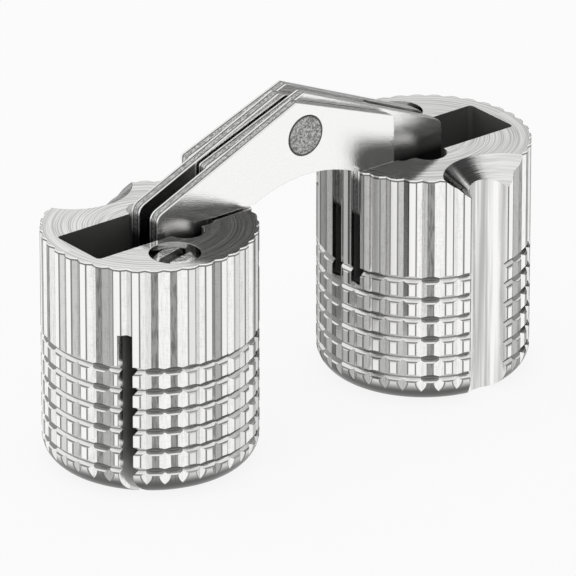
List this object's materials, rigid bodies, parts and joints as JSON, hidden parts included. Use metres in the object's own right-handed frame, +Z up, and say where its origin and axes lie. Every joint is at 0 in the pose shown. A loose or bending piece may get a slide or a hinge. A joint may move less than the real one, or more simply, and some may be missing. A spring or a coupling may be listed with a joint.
{
  "type": "cylinder hinge for drilled holes",
  "caption": "Concealed barrel hinge: two knurled barrels for drilled holes, joined by crossed link plates that fold into their slots, with clamp screws that spread the barrels.",
  "frame": {"origin": "on the floor under the barrels' bottom faces, midway between the two barrel axes", "axes": "+X from the left barrel to the right one, +Z up along the barrels towards the links, -Y towards the picture's viewer; the hinge is fully open"},
  "size_m": [0.0364, 0.014, 0.0222],
  "materials": {
    "barrel_nickel": "bright nickel plate on turned and knurled metal",
    "link_steel": "polished nickel-plated steel plate with sheared edges",
    "pin_steel": "ground steel",
    "screw_steel": "bright zinc-plated steel"
  },
  "bodies": {
    "left_barrel": {"left_barrel": "barrel_nickel", "left_pivot_pin": "pin_steel"},
    "right_long_links": {"link_2": "link_steel", "link_4": "link_steel", "right_slide_pin": "pin_steel", "center_rivet": "pin_steel"},
    "left_long_links": {"link_1": "link_steel", "link_3": "link_steel", "left_slide_pin": "pin_steel"},
    "right_barrel": {"right_barrel": "barrel_nickel", "right_pivot_pin": "pin_steel"},
    "left_clamp_screw": {"left_clamp_screw": "screw_steel"},
    "right_clamp_screw": {"right_clamp_screw": "screw_steel"}
  },
  "joints": [
    {"name": "left_pivot", "type": "hinge", "parent": "left_barrel", "child": "right_long_links", "pos_m": [-0.00561, 0, 0.0135], "axis": [0, -1, 0], "range_deg": [0, 112.5]},
    {"name": "link_scissor", "type": "hinge", "parent": "right_long_links", "child": "left_long_links", "pos_m": [0, 0, 0.0198], "axis": [0, -1, 0], "range_deg": [-45, 0]},
    {"name": "right_pivot", "type": "hinge", "parent": "left_long_links", "child": "right_barrel", "pos_m": [0.00561, 0, 0.0135], "axis": [0, -1, 0], "range_deg": [0, 112.5]},
    {"name": "left_screw_turn", "type": "hinge", "parent": "left_barrel", "child": "left_clamp_screw", "pos_m": [-0.0126, -0.0044, 0.01585], "axis": [0, 0, -1], "range_deg": [0, 450]},
    {"name": "right_screw_turn", "type": "hinge", "parent": "right_barrel", "child": "right_clamp_screw", "pos_m": [0.0126, 0.0044, 0.01585], "axis": [0, 0, -1], "range_deg": [0, 450]}
  ],
  "couplings": [
    {"joint": "link_scissor", "follows": "left_pivot", "ratio": -0.4},
    {"joint": "right_pivot", "follows": "left_pivot", "ratio": 1}
  ]
}
